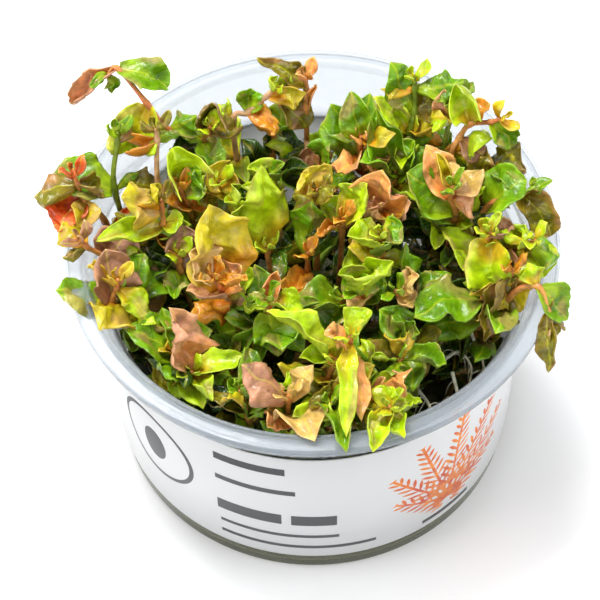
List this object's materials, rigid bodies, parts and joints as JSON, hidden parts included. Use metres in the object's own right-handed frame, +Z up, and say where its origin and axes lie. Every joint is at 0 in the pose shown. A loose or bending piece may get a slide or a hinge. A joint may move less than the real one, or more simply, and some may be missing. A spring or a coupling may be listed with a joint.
{
  "type": "aquarium plant in a culture cup",
  "caption": "Dense tuft of red-stemmed rotala shoots with small green, lime and rose leaves, rooted in nutrient gel in a clear round flanged cup with a printed sleeve.",
  "frame": {"origin": "centre of the cup's flat base, on the surface that it stands on", "axes": "+Z up along the cup's axis; +X to the viewer's right and +Y away from the viewer, who sees the printed panel of the sleeve"},
  "size_m": [0.106, 0.101, 0.0831],
  "materials": {
    "clear_cup": "clear moulded polypropylene, smooth",
    "sleeve": "white printed film, satin",
    "gel": "wet nutrient gel",
    "green_shoot": "wet green leaves on orange-red stems",
    "lime_shoot": "wet lime and yellow leaves on orange-red stems",
    "rose_shoot": "wet rose and salmon leaves on orange-red stems",
    "olive_shoot": "wet olive-brown leaves on orange-red stems",
    "root": "white wet root"
  },
  "bodies": {
    "root": {"cup": "clear_cup", "label": "sleeve", "gel": "gel", "shoot_arch_left": "lime_shoot", "shoot_left_mast": "green_shoot", "shoot_left_bud": "rose_shoot", "shoot_left_low": "rose_shoot", "shoot_left_pink": "rose_shoot", "shoot_yellow_left": "lime_shoot", "shoot_pink_stalk": "rose_shoot", "shoot_lime_cup": "lime_shoot", "shoot_olive_back": "olive_shoot", "shoot_orange_back": "lime_shoot", "shoot_dark_back": "green_shoot", "shoot_olive_arch": "olive_shoot", "shoot_finger_back": "green_shoot", "shoot_big_back": "green_shoot", "shoot_tall_back": "green_shoot", "shoot_right_crown": "olive_shoot", "shoot_right_back": "olive_shoot", "shoot_orange_right": "lime_shoot", "shoot_olive_fan": "olive_shoot", "shoot_rose": "rose_shoot", "shoot_right_droop": "green_shoot", "shoot_right_lime": "lime_shoot", "shoot_right_crumple": "lime_shoot", "shoot_right_hang": "lime_shoot", "shoot_right_tail": "green_shoot", "shoot_glossy_right": "green_shoot", "shoot_right_mid": "green_shoot", "shoot_right_front": "green_shoot", "shoot_beige_front": "rose_shoot", "shoot_star_front": "lime_shoot", "shoot_ribbon_front": "rose_shoot", "shoot_rim_tongue": "olive_shoot", "shoot_sash_front": "lime_shoot", "shoot_mauve_front": "rose_shoot", "shoot_green_front": "green_shoot", "shoot_pink_front": "rose_shoot", "shoot_green_left": "green_shoot", "shoot_hero": "lime_shoot", "shoot_dark_left": "green_shoot", "shoot_mauve_mid": "olive_shoot", "shoot_banner": "lime_shoot", "shoot_curl_mid": "lime_shoot", "shoot_yellow_back": "lime_shoot", "shoot_curl_back": "lime_shoot", "shoot_mid_green": "green_shoot", "shoot_mid_yellow": "lime_shoot", "shoot_lime_mid": "lime_shoot", "shoot_salmon_mid": "rose_shoot", "shoot_cup_mid": "lime_shoot", "shoot_ring_mid": "lime_shoot", "shoot_olive_mid": "green_shoot", "shoot_glossy_front": "green_shoot", "root_1": "root", "root_2": "root", "root_3": "root", "root_4": "root"}
  },
  "joints": []
}
